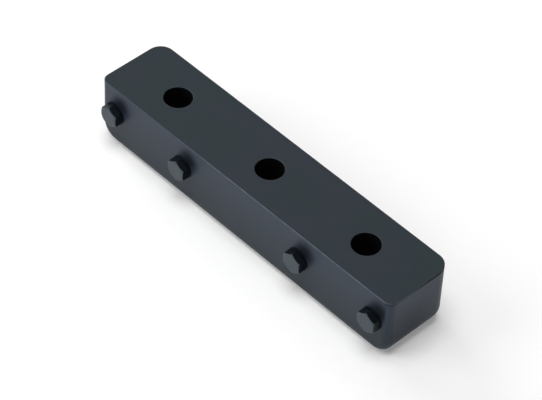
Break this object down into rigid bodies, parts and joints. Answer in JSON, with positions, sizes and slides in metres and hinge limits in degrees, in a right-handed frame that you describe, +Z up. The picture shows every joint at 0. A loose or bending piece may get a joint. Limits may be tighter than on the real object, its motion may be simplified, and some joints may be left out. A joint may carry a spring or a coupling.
{
  "type": "machined mounting block",
  "caption": "Long rounded bar block with a row of clearance holes through its top face and collared hex-head screws in its front face.",
  "frame": {"origin": "on the underside, on the axis of the middle hole, midway between the ends", "axes": "+Z up out of the top face along the holes, +X along the length, the screw heads face -Y"},
  "size_m": [0.152, 0.034, 0.028],
  "materials": {
    "block": "satin black oxide",
    "screws": "satin black oxide"
  },
  "bodies": {
    "root": {"block": "block", "outer_left_screw": "screws", "inner_left_screw": "screws", "inner_right_screw": "screws", "outer_right_screw": "screws"}
  },
  "joints": []
}
